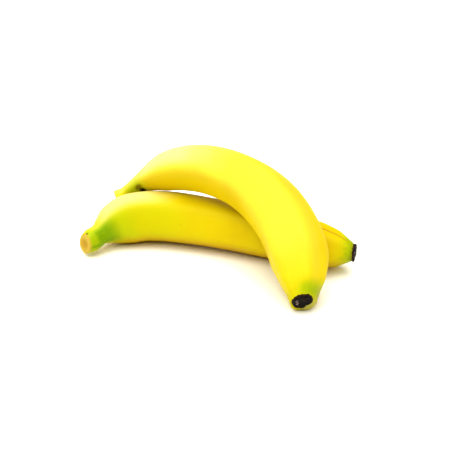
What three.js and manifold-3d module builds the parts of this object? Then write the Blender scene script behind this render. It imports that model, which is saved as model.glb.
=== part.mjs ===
// Two ripe bananas lying across each other. One lies on its side on the ground. The other leans
// over its back, with its neck on the first one's shoulder and its nose on the ground in front.
// Units are millimetres, +Z is up, and the origin is the middle of the ground under the pair.

import * as THREE from "three";
import { mergeVertices } from "three/addons/utils/BufferGeometryUtils.js";
import Module from "manifold-3d";

// ---------------------------------------------------------------------------------------------
// Driving dimensions
// ---------------------------------------------------------------------------------------------

// Places along a banana's middle line, as shares of its length from the cut stem to the tip.
const AT = {
  cut: 0,
  collar: 0.03,
  neck: 0.06,
  gullet: 0.09,
  throat: 0.13,
  shoulder: 0.2,
  upperBack: 0.26,
  back: 0.32,
  upperBelly: 0.45,
  belly: 0.5,
  lowerBelly: 0.65,
  hip: 0.68,
  waist: 0.84,
  nose: 0.93,
  blossom: 0.975,
  tip: 1,
};

// For each banana: half its thickness at places along it, and the bend of its middle line there
// in degrees per centimetre, negative to the right. The middle line lies in a plane of its own,
// turned by roll, then pitch, then yaw, and the line's halfway point is at `middle`. `faces` are
// the directions that the five flat sides face, in degrees round the section, and `twist` is how
// far they turn from the cut stem to the tip. An oblique end leans by `lean` degrees, so that it
// looks a little towards that direction round the section.
const LOWER = {
  name: "banana_lower",
  length: 197,
  half: {
    cut: 6.6,
    collar: 7.7,
    neck: 7.2,
    gullet: 9.4,
    throat: 13.6,
    shoulder: 16.9,
    back: 17.2,
    belly: 16.4,
    hip: 16.1,
    waist: 15.4,
    nose: 12.1,
    blossom: 8,
    tip: 5,
  },
  bend: {
    cut: 24.5,
    neck: 4,
    throat: -18,
    upperBack: -11.3,
    upperBelly: -0.7,
    lowerBelly: -1.6,
    waist: 1.3,
    tip: 2.7,
  },
  middle: [-0.9, 27.7, 17.9],
  yaw: -19.6,
  pitch: 1.1,
  roll: 13.3,
  faces: [3, 78, 146, 221, 289],
  twist: -9,
  obliqueCut: { lean: 18, towards: 105 },
  obliqueTip: { lean: 0, towards: 0 },
};

const UPPER = {
  name: "banana_upper",
  length: 208,
  half: {
    cut: 7.1,
    collar: 5.3,
    neck: 5.7,
    gullet: 6.7,
    throat: 9,
    shoulder: 13,
    back: 15.5,
    belly: 17.1,
    hip: 18.4,
    waist: 18,
    nose: 13.6,
    blossom: 9.6,
    tip: 8,
  },
  bend: {
    cut: -3.5,
    neck: -6,
    throat: -7.2,
    upperBack: -7.1,
    upperBelly: -5,
    lowerBelly: -5.7,
    waist: -6.1,
    tip: 0,
  },
  middle: [16.1, 17.7, 54.6],
  yaw: -45.5,
  pitch: 6.4,
  roll: 52.4,
  faces: [9, 79, 153, 228, 296],
  twist: -2,
  obliqueCut: { lean: 0, towards: 0 },
  obliqueTip: { lean: 19, towards: 58 },
};

// The section is a rounded polygon with five ridges. A higher power squares its corners, and
// the strength is 1 where the ridges show in full and 0 where the section is round.
const CORNER_POWER = 7;
const POLYGON_MEAN = 1.05;
const RIDGE_STRENGTH = { cut: 0.3, neck: 0.6, back: 0.8, hip: 0.8, nose: 1.2, tip: 0.4 };

// The cut stem ends in a bevelled rim round a shallow dish, and the dried blossom in a crust with
// an uneven rim round a pit. Each ring is a share of the end's half-thickness and stands out past
// the end of the middle line by so many millimetres.
const CUT_FACE = { rings: [[0.93, 0.7], [0.6, 0.3]], middle: 0, lobes: 6, lobeHeight: 0.03 };
const BLOSSOM_FACE = { rings: [[0.85, 1.2], [0.45, 0.7]], middle: 0.2, lobes: 7, lobeHeight: 0.06 };

// Mesh fineness: sides round a banana, rings along it, crowded towards the ends, and the steps
// in which its middle line is walked.
const SIDES = 35;
const RINGS = 56;
const END_CROWDING = 0.7;
const LINE_STEPS = 400;

// The block of ground that planes a small flat under whatever bears on it.
const GROUND = { side: 400, depth: 40 };

// ---------------------------------------------------------------------------------------------
// Curves along a banana
// ---------------------------------------------------------------------------------------------

// The slope that a monotone cubic takes at each of its points.
function slopesAtPoints(widths, slopes) {
  const inner = slopes.slice(1).map((after, i) => {
    const before = slopes[i];
    if (before * after <= 0) return 0;
    const heavy = 2 * widths[i + 1] + widths[i];
    const light = widths[i + 1] + 2 * widths[i];
    return (heavy + light) / (heavy / before + light / after);
  });
  return [slopes[0], ...inner, slopes.at(-1)];
}

// A smooth curve through named values, as a function of the share of the length. It rises and
// falls only where the values do.
function curveThrough(values) {
  const places = Object.keys(values).map((name) => AT[name]);
  const heights = Object.values(values);
  const widths = places.slice(1).map((place, i) => place - places[i]);
  const slopes = widths.map((width, i) => (heights[i + 1] - heights[i]) / width);
  const tangents = slopesAtPoints(widths, slopes);
  return (share) => {
    let i = 0;
    while (i < widths.length - 1 && share > places[i + 1]) i += 1;
    const u = (share - places[i]) / widths[i];
    const v = 1 - u;
    return (
      heights[i] * v * v * (1 + 2 * u) +
      heights[i + 1] * u * u * (3 - 2 * u) +
      widths[i] * u * v * (tangents[i] * v - tangents[i + 1] * u)
    );
  };
}

// The middle line, walked in short steps along the bend. Its halfway point is the origin and
// runs along +X there. The result gives the point and the heading at a share of the length.
function middleLine(banana) {
  const bend = curveThrough(banana.bend);
  const step = banana.length / LINE_STEPS;
  const headings = [0];
  for (let i = 1; i <= LINE_STEPS; i += 1) {
    const turn = THREE.MathUtils.degToRad(bend((i - 0.5) / LINE_STEPS)) / 10;
    headings.push(headings[i - 1] + turn * step);
  }
  const halfway = headings[LINE_STEPS / 2];
  const points = [new THREE.Vector2(0, 0)];
  for (let i = 1; i <= LINE_STEPS; i += 1) {
    const heading = (headings[i - 1] + headings[i]) / 2 - halfway;
    const onward = new THREE.Vector2(Math.cos(heading), Math.sin(heading));
    points.push(points[i - 1].clone().addScaledVector(onward, step));
  }
  const centre = points[LINE_STEPS / 2].clone();
  return (share) => {
    const i = Math.min(Math.floor(share * LINE_STEPS), LINE_STEPS - 1);
    const u = share * LINE_STEPS - i;
    const point = points[i].clone().lerp(points[i + 1], u).sub(centre);
    const heading = THREE.MathUtils.lerp(headings[i], headings[i + 1], u) - halfway;
    return { point, heading };
  };
}

// How far the skin stands out in a direction, for a mean of 1: a rounded polygon with a flat
// side towards each of the banana's faces.
function polygonReach(banana, share, angle) {
  const twist = banana.twist * (share - AT.belly);
  let sum = 0;
  for (const face of banana.faces) {
    const facing = Math.cos(angle - THREE.MathUtils.degToRad(face + twist));
    if (facing > 0) sum += facing ** CORNER_POWER;
  }
  return sum ** (-1 / CORNER_POWER) / POLYGON_MEAN;
}

// ---------------------------------------------------------------------------------------------
// Solid of one banana
// ---------------------------------------------------------------------------------------------

// The rings of a banana from the middle of its cut face to the middle of its blossom face, as
// { share, scale, out }: where on the line, how large, and how far past the line's end.
function ringPlan() {
  const body = Array.from({ length: RINGS }, (_, i) => {
    const u = i / (RINGS - 1);
    const share = u - (END_CROWDING * Math.sin(2 * Math.PI * u)) / (2 * Math.PI);
    return { share, scale: 1, out: 0 };
  });
  const cut = CUT_FACE.rings.map(([scale, out]) => ({ share: 0, scale, out: -out }));
  const blossom = BLOSSOM_FACE.rings.map(([scale, out]) => ({ share: 1, scale, out }));
  return [...cut.reverse(), ...body, ...blossom];
}

// How much the rim of an end swells at an angle. It fades out a little way along the banana.
function rimSwell(angle, share) {
  const atCut = share < AT.collar;
  const end = atCut ? CUT_FACE : BLOSSOM_FACE;
  const away = atCut ? share / AT.collar : (1 - share) / (1 - AT.blossom);
  const fade = Math.max(0, 1 - away);
  return 1 + end.lobeHeight * fade * Math.sin(end.lobes * angle);
}

// How far an oblique end carries the skin onward at an angle and a reach from the middle line.
// It fades out between the end and the neck, or the nose.
function obliqueShift(banana, share, angle, reach) {
  const atCut = share < AT.belly;
  const end = atCut ? banana.obliqueCut : banana.obliqueTip;
  const away = atCut ? share / AT.neck : (1 - share) / (1 - AT.nose);
  const fade = Math.max(0, 1 - away) ** 2;
  const slope = Math.tan(THREE.MathUtils.degToRad(end.lean)) * (atCut ? 1 : -1);
  return slope * fade * reach * Math.cos(angle - THREE.MathUtils.degToRad(end.towards));
}

// A function that gives any point of a banana's skin, in the frame of its middle line.
function skinOf(banana) {
  const line = middleLine(banana);
  const half = curveThrough(banana.half);
  const strength = curveThrough(RIDGE_STRENGTH);
  return (share, angle, scale, out) => {
    const { point, heading } = line(share);
    const onward = new THREE.Vector3(Math.cos(heading), Math.sin(heading), 0);
    const left = new THREE.Vector3(-onward.y, onward.x, 0);
    const relief = 1 + strength(share) * (polygonReach(banana, share, angle) - 1);
    const reach = half(share) * relief * rimSwell(angle, share) * scale;
    return new THREE.Vector3(point.x, point.y, reach * Math.sin(angle))
      .addScaledVector(left, reach * Math.cos(angle))
      .addScaledVector(onward, out + obliqueShift(banana, share, angle, reach));
  };
}

// The closed skin of a banana: rings of vertices joined by bands, with a fan at each end.
function skinGeometry(banana) {
  const skin = skinOf(banana);
  const rings = ringPlan();
  const vertices = [skin(0, 0, 0, -CUT_FACE.middle)];
  for (const { share, scale, out } of rings) {
    for (let side = 0; side < SIDES; side += 1) {
      vertices.push(skin(share, (side / SIDES) * 2 * Math.PI, scale, out));
    }
  }
  vertices.push(skin(1, 0, 0, BLOSSOM_FACE.middle));

  const last = vertices.length - 1;
  const at = (ring, side) => 1 + ring * SIDES + (side % SIDES);
  const triangles = [];
  for (let side = 0; side < SIDES; side += 1) {
    triangles.push(0, at(0, side + 1), at(0, side));
    for (let ring = 0; ring < rings.length - 1; ring += 1) {
      const [a, b] = [at(ring, side), at(ring, side + 1)];
      const [c, d] = [at(ring + 1, side), at(ring + 1, side + 1)];
      triangles.push(a, b, d, a, d, c);
    }
    triangles.push(last, at(rings.length - 1, side), at(rings.length - 1, side + 1));
  }
  const geometry = new THREE.BufferGeometry().setFromPoints(vertices);
  geometry.setIndex(triangles);
  return geometry;
}

// ---------------------------------------------------------------------------------------------
// Cutting with manifold-3d
// ---------------------------------------------------------------------------------------------

const wasm = await Module();
wasm.setup();

// A closed geometry as a manifold-3d solid.
function solidOf(geometry) {
  const bare = geometry.clone();
  bare.deleteAttribute("normal");
  bare.deleteAttribute("uv");
  const merged = mergeVertices(bare, 1e-4);
  const vertProperties = new Float32Array(merged.attributes.position.array);
  const triVerts = new Uint32Array(merged.index.array);
  return new wasm.Manifold(new wasm.Mesh({ numProp: 3, vertProperties, triVerts }));
}

// A manifold-3d solid as a three.js geometry.
function geometryOf(solid) {
  const { vertProperties, triVerts } = solid.getMesh();
  const geometry = new THREE.BufferGeometry();
  geometry.setAttribute("position", new THREE.BufferAttribute(vertProperties, 3));
  geometry.setIndex(new THREE.BufferAttribute(triVerts, 1));
  geometry.computeVertexNormals();
  return geometry;
}

// Planes off whatever part of a placed mesh reaches below the ground.
function planeOnGround(mesh) {
  mesh.updateMatrix();
  const ground = new THREE.BoxGeometry(GROUND.side, GROUND.side, GROUND.depth)
    .translate(0, 0, -GROUND.depth / 2)
    .applyMatrix4(mesh.matrix.clone().invert());
  mesh.geometry = geometryOf(solidOf(mesh.geometry).subtract(solidOf(ground)));
}

// ---------------------------------------------------------------------------------------------
// The pair
// ---------------------------------------------------------------------------------------------

// One banana as a mesh, placed by its halfway point and turned by roll, pitch and yaw.
function bananaMesh(banana, colour) {
  const peel = new THREE.MeshStandardMaterial({ color: colour, roughness: 0.5, metalness: 0 });
  const mesh = new THREE.Mesh(skinGeometry(banana), peel);
  mesh.name = banana.name;
  const [roll, pitch, yaw] = [banana.roll, banana.pitch, banana.yaw].map(THREE.MathUtils.degToRad);
  mesh.rotation.set(roll, pitch, yaw, "ZYX");
  mesh.position.set(...banana.middle);
  planeOnGround(mesh);
  return mesh;
}

const bananas = new THREE.Group();
bananas.name = "bananas";
bananas.add(bananaMesh(LOWER, 0xe6d20a));
bananas.add(bananaMesh(UPPER, 0xfff02a));

export default bananas;
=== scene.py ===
"""Two ripe bananas lying across each other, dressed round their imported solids.

Each banana is a rounded five-sided section swept along a bent middle line, from its cut stem to its
dried blossom. One Geometry Nodes tree sweeps the peel and the cut face of the stem. Two more trees
set fibres on the cut face and dried scales round the crust of the blossom, and the crust itself is
a set of rings that a formula raises over the blunt tip. Lengths are in millimetres and angles in
degrees wherever a shape is described, and in metres and radians once it is a mesh.
"""

import logging
import math
from collections.abc import Callable, Mapping, Sequence
from dataclasses import dataclass
from enum import Enum

import bmesh
import bpy
from mathutils import Euler, Matrix, Vector, noise


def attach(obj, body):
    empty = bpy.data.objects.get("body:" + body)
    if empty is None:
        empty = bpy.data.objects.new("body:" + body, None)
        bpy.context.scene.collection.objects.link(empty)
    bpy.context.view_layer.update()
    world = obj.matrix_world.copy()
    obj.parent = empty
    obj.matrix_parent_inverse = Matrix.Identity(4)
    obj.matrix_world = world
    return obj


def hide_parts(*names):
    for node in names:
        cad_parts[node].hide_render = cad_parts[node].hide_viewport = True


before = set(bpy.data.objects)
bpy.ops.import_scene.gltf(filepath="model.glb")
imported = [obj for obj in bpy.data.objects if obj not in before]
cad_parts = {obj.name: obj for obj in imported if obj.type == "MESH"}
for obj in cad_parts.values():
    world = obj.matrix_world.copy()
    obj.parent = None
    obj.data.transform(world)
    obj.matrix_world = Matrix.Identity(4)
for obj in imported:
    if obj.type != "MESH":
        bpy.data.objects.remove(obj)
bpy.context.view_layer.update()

LOG = logging.getLogger("bananas")
MILLIMETRE = 0.001
TURN = 2 * math.pi
SEAM = 2e-6

Colour = tuple[float, float, float]
Triple = tuple[float, float, float]


# ---------------------------------------------------------------------------------------------
# Shape of a banana
# ---------------------------------------------------------------------------------------------


class Place(Enum):
    """Places along a banana's middle line, as shares of its length from the cut stem to the tip."""

    CUT = 0.0
    COLLAR = 0.03
    NECK = 0.06
    GULLET = 0.09
    THROAT = 0.13
    SHOULDER = 0.2
    UPPER_BACK = 0.26
    BACK = 0.32
    UPPER_BELLY = 0.45
    BELLY = 0.5
    LOWER_BELLY = 0.65
    HIP = 0.68
    WAIST = 0.84
    NOSE = 0.93
    BLOSSOM = 0.975
    TIP = 1.0


class Slot(Enum):
    """Material slots, which the log names for each piece."""

    PEEL = "peel"
    CUT_STEM = "cut_stem"
    DRIED_TIP = "dried_tip"


class Curve:
    """A smooth curve through values at places, which rises and falls only where they do."""

    def __init__(self, values: Mapping[Place, float]) -> None:
        """Works out the slope at each place.

        Args:
            values: The curve's height at each place, in order along the banana.
        """
        self.places = [place.value for place in values]
        self.heights = list(values.values())
        self.widths = [after - before for before, after in zip(self.places, self.places[1:])]
        rises = [after - before for before, after in zip(self.heights, self.heights[1:])]
        slopes = [rise / width for rise, width in zip(rises, self.widths)]
        inner = [self._slope_between(i, slopes) for i in range(1, len(slopes))]
        self.slopes = [slopes[0], *inner, slopes[-1]]

    def _slope_between(self, i: int, slopes: Sequence[float]) -> float:
        """The slope where stretch i starts: none at a peak or a dip, or a weighted mean."""
        before, after = slopes[i - 1], slopes[i]
        if before * after <= 0:
            return 0.0
        heavy = 2 * self.widths[i] + self.widths[i - 1]
        light = self.widths[i] + 2 * self.widths[i - 1]
        return (heavy + light) / (heavy / before + light / after)

    def __call__(self, share: float) -> float:
        """Reads the curve.

        Args:
            share: How far along the banana, from 0 to 1.

        Returns:
            The curve's height there.
        """
        i = 0
        while i < len(self.widths) - 1 and share > self.places[i + 1]:
            i += 1
        width = self.widths[i]
        u = (share - self.places[i]) / width
        v = 1 - u
        start = self.heights[i] * v * v * (1 + 2 * u)
        end = self.heights[i + 1] * u * u * (3 - 2 * u)
        return start + end + width * u * v * (self.slopes[i] * v - self.slopes[i + 1] * u)


@dataclass(frozen=True)
class Oblique:
    """How an end is cut: it leans so that it looks a little towards a direction in the section."""

    lean: float = 0.0
    towards: float = 0.0


@dataclass(frozen=True)
class BananaShape:
    """Sizes of one banana.

    The half thickness and the bend, in degrees per centimetre, are given at places along it. The
    middle line's halfway point is at middle, and its plane is turned by roll, pitch and then yaw.
    The five flat sides of the section face the angles in faces, and twist from stem to tip.
    """

    node: str
    length: float
    half: Mapping[Place, float]
    bend: Mapping[Place, float]
    middle: Triple
    yaw: float
    pitch: float
    roll: float
    faces: tuple[float, ...]
    twist: float
    oblique_cut: Oblique = Oblique()
    oblique_tip: Oblique = Oblique()

    def oblique(self, share: float) -> tuple[float, float]:
        """How an oblique end carries the skin onward near it.

        Args:
            share: How far along the banana.

        Returns:
            The shift onward for each millimetre of reach, and the angle where it is strongest.
        """
        at_cut = share < Place.BELLY.value
        end = self.oblique_cut if at_cut else self.oblique_tip
        away = share / Place.NECK.value if at_cut else (1 - share) / (1 - Place.NOSE.value)
        fade = max(0.0, 1 - away) ** 2 * (1 if at_cut else -1)
        return math.tan(math.radians(end.lean)) * fade, math.radians(end.towards)


LOWER = BananaShape(
    node="banana_lower",
    length=197,
    half={
        Place.CUT: 6.6,
        Place.COLLAR: 7.7,
        Place.NECK: 7.2,
        Place.GULLET: 9.4,
        Place.THROAT: 13.6,
        Place.SHOULDER: 16.9,
        Place.BACK: 17.2,
        Place.BELLY: 16.4,
        Place.HIP: 16.1,
        Place.WAIST: 15.4,
        Place.NOSE: 12.1,
        Place.BLOSSOM: 8,
        Place.TIP: 5,
    },
    bend={
        Place.CUT: 24.5,
        Place.NECK: 4,
        Place.THROAT: -18,
        Place.UPPER_BACK: -11.3,
        Place.UPPER_BELLY: -0.7,
        Place.LOWER_BELLY: -1.6,
        Place.WAIST: 1.3,
        Place.TIP: 2.7,
    },
    middle=(-0.9, 27.7, 17.9),
    yaw=-19.6,
    pitch=1.1,
    roll=13.3,
    faces=(3, 78, 146, 221, 289),
    twist=-9,
    oblique_cut=Oblique(lean=18, towards=105),
)

UPPER = BananaShape(
    node="banana_upper",
    length=208,
    half={
        Place.CUT: 7.1,
        Place.COLLAR: 5.3,
        Place.NECK: 5.7,
        Place.GULLET: 6.7,
        Place.THROAT: 9,
        Place.SHOULDER: 13,
        Place.BACK: 15.5,
        Place.BELLY: 17.1,
        Place.HIP: 18.4,
        Place.WAIST: 18,
        Place.NOSE: 13.6,
        Place.BLOSSOM: 9.6,
        Place.TIP: 8,
    },
    bend={
        Place.CUT: -3.5,
        Place.NECK: -6,
        Place.THROAT: -7.2,
        Place.UPPER_BACK: -7.1,
        Place.UPPER_BELLY: -5,
        Place.LOWER_BELLY: -5.7,
        Place.WAIST: -6.1,
        Place.TIP: 0,
    },
    middle=(16.1, 17.7, 54.6),
    yaw=-45.5,
    pitch=6.4,
    roll=52.4,
    faces=(9, 79, 153, 228, 296),
    twist=-2,
    oblique_tip=Oblique(lean=19, towards=58),
)

# How far the section goes from round, at 0, to five flat sides with rounded ridges, at 1.
RIDGE_STRENGTH = Curve(
    {
        Place.CUT: 0.3,
        Place.NECK: 0.6,
        Place.BACK: 0.8,
        Place.HIP: 0.8,
        Place.NOSE: 1.2,
        Place.TIP: 0.4,
    }
)


@dataclass(frozen=True)
class Station:
    """One ring of a swept piece: where on the middle line, how large, and how far past it."""

    share: float
    scale: float = 1.0
    out: float = 0.0


class MiddleLine:
    """A banana's middle line, walked in short steps along its bend and placed in the frame."""

    STEPS = 400
    CENTIMETRE = 10

    def __init__(self, shape: BananaShape) -> None:
        """Walks the line.

        Args:
            shape: The banana's sizes.
        """
        bend = Curve(shape.bend)
        step = shape.length / self.STEPS
        self.headings = [0.0]
        for i in range(self.STEPS):
            turn = math.radians(bend((i + 0.5) / self.STEPS)) / self.CENTIMETRE
            self.headings.append(self.headings[-1] + turn * step)
        halfway = self.headings[self.STEPS // 2]
        self.headings = [heading - halfway for heading in self.headings]
        self.points = [Vector((0, 0, 0))]
        for before, after in zip(self.headings, self.headings[1:]):
            heading = (before + after) / 2
            onward = Vector((math.cos(heading), math.sin(heading), 0))
            self.points.append(self.points[-1] + onward * step)
        centre = self.points[self.STEPS // 2]
        self.points = [point - centre for point in self.points]
        angles = (math.radians(shape.roll), math.radians(shape.pitch), math.radians(shape.yaw))
        self.turned = Euler(angles, "XYZ").to_matrix()
        self.middle = Vector(shape.middle)

    def at(self, share: float, out: float = 0.0) -> tuple[Vector, Matrix]:
        """Reads the line.

        Args:
            share: How far along the banana, from 0 to 1.
            out: How far past that point, in millimetres.

        Returns:
            The point in millimetres, and a matrix whose columns point onward, left and up there.
        """
        i = min(int(share * self.STEPS), self.STEPS - 1)
        u = share * self.STEPS - i
        heading = self.headings[i] * (1 - u) + self.headings[i + 1] * u
        axes = self.turned @ Matrix.Rotation(heading, 3, "Z")
        flat = self.points[i].lerp(self.points[i + 1], u)
        return self.turned @ flat + self.middle + axes.col[0] * out, axes


# ---------------------------------------------------------------------------------------------
# Meshes and objects
# ---------------------------------------------------------------------------------------------


def add_object(name: str, data: bpy.types.ID) -> bpy.types.Object:
    """Puts a mesh, a lamp or a camera in the scene."""
    added = bpy.data.objects.new(name, data)
    bpy.context.scene.collection.objects.link(added)
    return added


def ring_faces(rings: int, sides: int) -> list[tuple[int, int, int, int]]:
    """The faces that join each ring of points to the next one."""
    faces = []
    for low in range(0, (rings - 1) * sides, sides):
        high = low + sides
        for side in range(sides):
            after = (side + 1) % sides
            faces.append((low + side, low + after, high + after, high + side))
    return faces


def make_mesh(
    name: str,
    points: Sequence[Vector],
    faces: Sequence[tuple[int, ...]] = (),
    attributes: Mapping[str, Sequence[float | Vector]] | None = None,
) -> bpy.types.Mesh:
    """Makes a mesh.

    Args:
        name: Its name.
        points: Its points, in millimetres.
        faces: Its faces, as the numbers of their points.
        attributes: The number or the vector that each point keeps, by name.

    Returns:
        The mesh, in metres.
    """
    mesh = bpy.data.meshes.new(name)
    mesh.from_pydata([point * MILLIMETRE for point in points], [], list(faces))
    for key, values in (attributes or {}).items():
        if isinstance(values[0], Vector):
            kept = mesh.attributes.new(key, "FLOAT_VECTOR", "POINT")
            kept.data.foreach_set("vector", [part for value in values for part in value])
        else:
            kept = mesh.attributes.new(key, "FLOAT", "POINT")
            kept.data.foreach_set("value", values)
    return mesh


# ---------------------------------------------------------------------------------------------
# Node trees
# ---------------------------------------------------------------------------------------------


@dataclass(frozen=True)
class Number:
    """A number that a node works out. Arithmetic on it adds Math nodes to its tree."""

    tree: "Tree"
    socket: bpy.types.NodeSocket

    def __add__(self, other: "Number | float") -> "Number":
        """The sum."""
        return self.tree.maths("ADD", self, other)

    def __sub__(self, other: "Number | float") -> "Number":
        """The difference."""
        return self.tree.maths("SUBTRACT", self, other)

    def __rsub__(self, other: float) -> "Number":
        """The difference from a plain number."""
        return self.tree.maths("SUBTRACT", other, self)

    def __mul__(self, other: "Number | float") -> "Number":
        """The product."""
        return self.tree.maths("MULTIPLY", self, other)

    def __truediv__(self, other: "Number | float") -> "Number":
        """The quotient."""
        return self.tree.maths("DIVIDE", self, other)

    def __rtruediv__(self, other: float) -> "Number":
        """A plain number divided by this one."""
        return self.tree.maths("DIVIDE", other, self)

    def __pow__(self, other: float) -> "Number":
        """The power."""
        return self.tree.maths("POWER", self, other)

    __radd__ = __add__
    __rmul__ = __mul__

    def at_least(self, low: "Number | float") -> "Number":
        """The larger of this and low."""
        return self.tree.maths("MAXIMUM", self, low)

    def sine(self) -> "Number":
        """The sine of this angle."""
        return self.tree.maths("SINE", self)

    def cosine(self) -> "Number":
        """The cosine of this angle."""
        return self.tree.maths("COSINE", self)

    def floor(self) -> "Number":
        """The whole number below this one."""
        return self.tree.maths("FLOOR", self)

    def ease(self, start: float, end: float) -> "Number":
        """Turns the number into a mask with soft ends.

        Args:
            start: Where the mask is 0.
            end: Where the mask is 1. It may be below start.

        Returns:
            The mask.
        """
        settings = {"interpolation_type": "SMOOTHSTEP"}
        values = {"Value": self, "From Min": start, "From Max": end}
        return Number(self.tree, self.tree.made("ShaderNodeMapRange", settings, values))


@dataclass(frozen=True)
class Arrow:
    """A vector that a node works out. Arithmetic on it adds Vector Math nodes to its tree."""

    tree: "Tree"
    socket: bpy.types.NodeSocket

    def __add__(self, other: "Arrow | Triple") -> "Arrow":
        """The sum."""
        return self.tree.arrows("ADD", self, other)

    def __sub__(self, other: "Arrow | Triple") -> "Arrow":
        """The difference."""
        return self.tree.arrows("SUBTRACT", self, other)

    def __mul__(self, other: "Arrow | Triple | Number | float") -> "Arrow":
        """The vector stretched by a number, or along each axis by a vector."""
        if isinstance(other, (Arrow, tuple)):
            return self.tree.arrows("MULTIPLY", self, other)
        values = {0: self, "Scale": other}
        return Arrow(self.tree, self.tree.made("ShaderNodeVectorMath", {"operation": "SCALE"}, values))

    __radd__ = __add__
    __rmul__ = __mul__

    def length(self) -> Number:
        """How long the vector is."""
        settings = {"operation": "LENGTH"}
        return Number(self.tree, self.tree.made("ShaderNodeVectorMath", settings, {0: self}, "Value"))

    def parts(self) -> tuple[Number, Number, Number]:
        """The vector's X, Y and Z."""
        node = self.tree.node("ShaderNodeSeparateXYZ", values={0: self})
        x, y, z = (Number(self.tree, socket) for socket in node.outputs)
        return x, y, z


Source = Number | Arrow | bpy.types.NodeSocket
Value = Source | float | int | str | bool | tuple | bpy.types.ID


class Tree:
    """A node tree under construction, for a material or for geometry."""

    def __init__(self, nodes: bpy.types.NodeTree) -> None:
        """Starts with an empty tree.

        Args:
            nodes: The tree to build in.
        """
        self.nodes = nodes
        nodes.nodes.clear()

    def node(
        self,
        kind: str,
        settings: Mapping[str, object] | None = None,
        values: Mapping[str | int, Value] | None = None,
    ) -> bpy.types.Node:
        """Adds a node.

        Args:
            kind: The node's type.
            settings: Its settings, set first.
            values: The value or link of each of its sockets, by name or number.

        Returns:
            The node.
        """
        added = self.nodes.nodes.new(kind)
        for name, setting in (settings or {}).items():
            setattr(added, name, setting)
        for key, value in (values or {}).items():
            self._feed(added.inputs[key], value)
        return added

    def made(
        self,
        kind: str,
        settings: Mapping[str, object] | None = None,
        values: Mapping[str | int, Value] | None = None,
        output: str | int = 0,
    ) -> bpy.types.NodeSocket:
        """Adds a node as node() does, and gives one of its outputs, by name or number."""
        return self.node(kind, settings, values).outputs[output]

    def _feed(self, socket: bpy.types.NodeSocket, value: Value) -> None:
        """Links a socket to its source, or sets its value."""
        if isinstance(value, (Number, Arrow)):
            value = value.socket
        if isinstance(value, bpy.types.NodeSocket):
            self.nodes.links.new(value, socket)
        elif socket.type == "RGBA":
            socket.default_value = (*value[:3], 1.0)
        else:
            socket.default_value = value

    def maths(self, operation: str, *terms: Number | float) -> Number:
        """Adds a Math node."""
        values = dict(enumerate(terms))
        return Number(self, self.made("ShaderNodeMath", {"operation": operation}, values))

    def arrows(self, operation: str, *terms: Arrow | Triple) -> Arrow:
        """Adds a Vector Math node."""
        values = dict(enumerate(terms))
        return Arrow(self, self.made("ShaderNodeVectorMath", {"operation": operation}, values))

    def arrow(self, x: Number | float, y: Number | float, z: Number | float) -> Arrow:
        """Joins three numbers into a vector."""
        return Arrow(self, self.made("ShaderNodeCombineXYZ", values={0: x, 1: y, 2: z}))

    def noise(self, where: Arrow, scale: float, detail: float = 2.0, rough: float = 0.5) -> Number:
        """Adds a cloudy noise.

        Args:
            where: The vector it is read at.
            scale: Its clouds per unit of that vector.
            detail: How many finer noises are laid over it.
            rough: How strong those are.

        Returns:
            The noise, from 0 to 1 with a mean of a half.
        """
        values = {"Vector": where, "Scale": scale, "Detail": detail, "Roughness": rough}
        return Number(self, self.made("ShaderNodeTexNoise", values=values))

    def cells(self, where: Arrow, scale: float) -> tuple[Number, Number]:
        """Adds a cell pattern.

        Args:
            where: The vector it is read at.
            scale: Its cells per unit of that vector.

        Returns:
            The distance from a cell's centre in cells, and a random number for the cell.
        """
        values = {"Vector": where, "Scale": scale}
        node = self.node("ShaderNodeTexVoronoi", {"feature": "F1"}, values)
        lot = Arrow(self, node.outputs["Color"]).parts()[0]
        return Number(self, node.outputs["Distance"]), lot


# ---------------------------------------------------------------------------------------------
# Geometry trees
# ---------------------------------------------------------------------------------------------


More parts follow.
